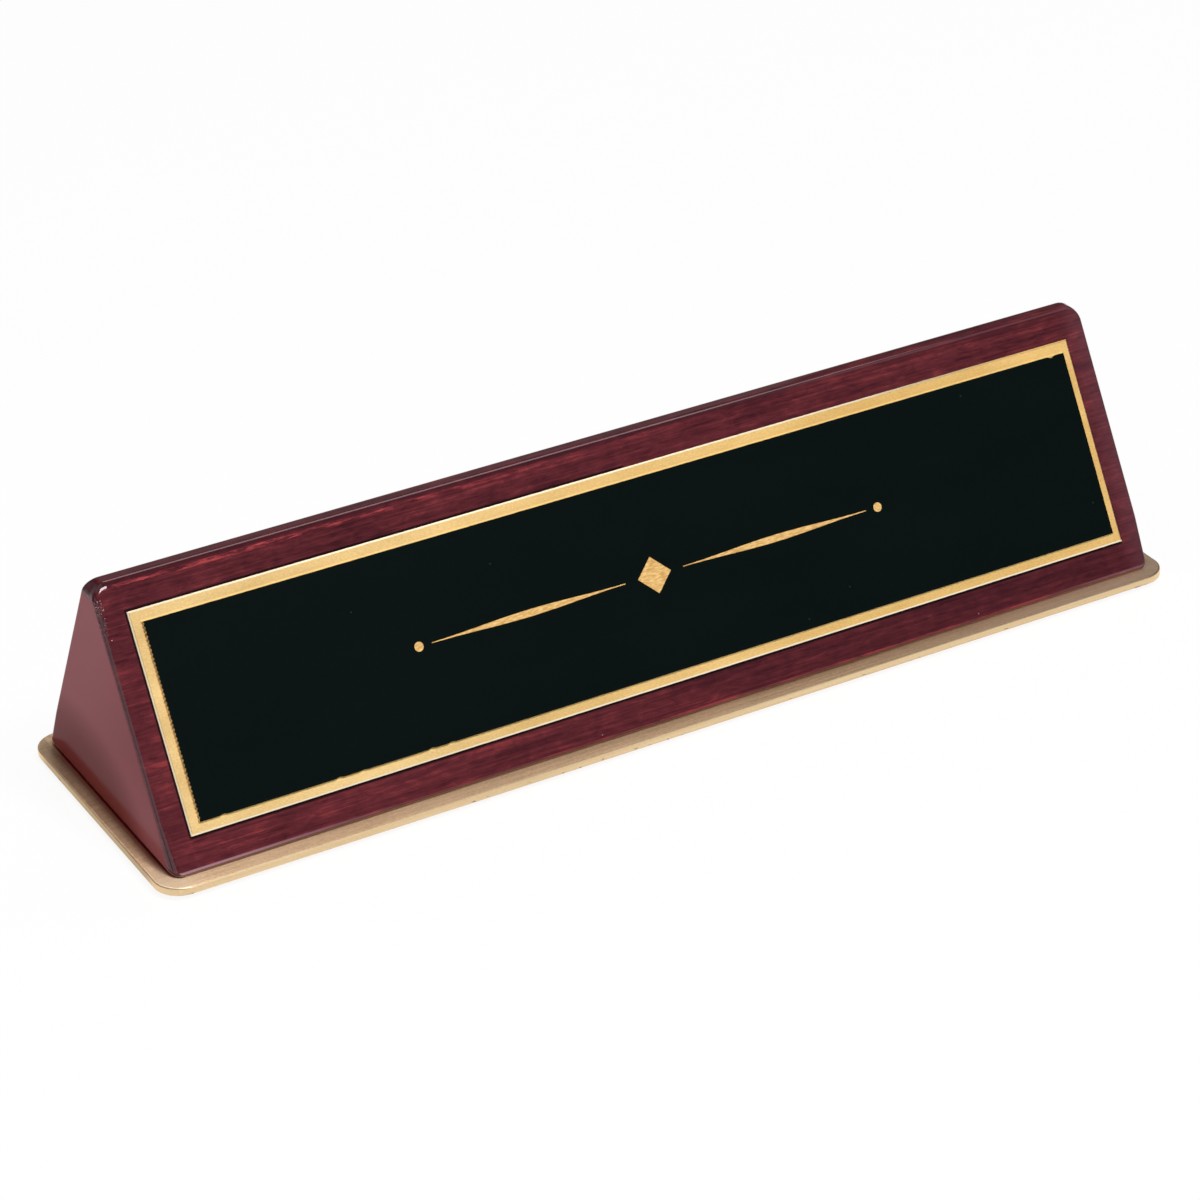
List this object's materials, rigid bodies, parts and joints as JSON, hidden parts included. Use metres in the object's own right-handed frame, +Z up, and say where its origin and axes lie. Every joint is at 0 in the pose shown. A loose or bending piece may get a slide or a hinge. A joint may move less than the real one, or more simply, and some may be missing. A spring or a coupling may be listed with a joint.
{
  "type": "desk name plate",
  "caption": "Wedge-shaped desk name plate: lacquered dark red wood block on a gold metal base, with a black plate on a brass border plate on its sloping front.",
  "frame": {"origin": "under the middle of the object, on the surface that the felt feet stand on", "axes": "+X along the block to the viewer's right, the sloping front faces -Y, +Z up"},
  "size_m": [0.2674, 0.0764, 0.0616],
  "materials": {
    "lacquered_rosewood": "high-gloss clear lacquer over dark red wood grain",
    "gold_base_metal": "brushed along the length, bright edge",
    "satin_brass": "fine satin",
    "black_coated_brass": "satin black coat",
    "adhesive_film": "matt translucent film",
    "screw_steel": "yellow zinc plated",
    "foot_felt": "pressed felt"
  },
  "bodies": {
    "root": {"wedge_block": "lacquered_rosewood", "base_plate": "gold_base_metal", "border_plate": "satin_brass", "name_plate": "black_coated_brass", "border_plate_tape": "adhesive_film", "name_plate_tape": "adhesive_film", "base_screws": "screw_steel", "foot_front_left": "foot_felt", "foot_front_right": "foot_felt", "foot_rear_left": "foot_felt", "foot_rear_right": "foot_felt"}
  },
  "joints": []
}
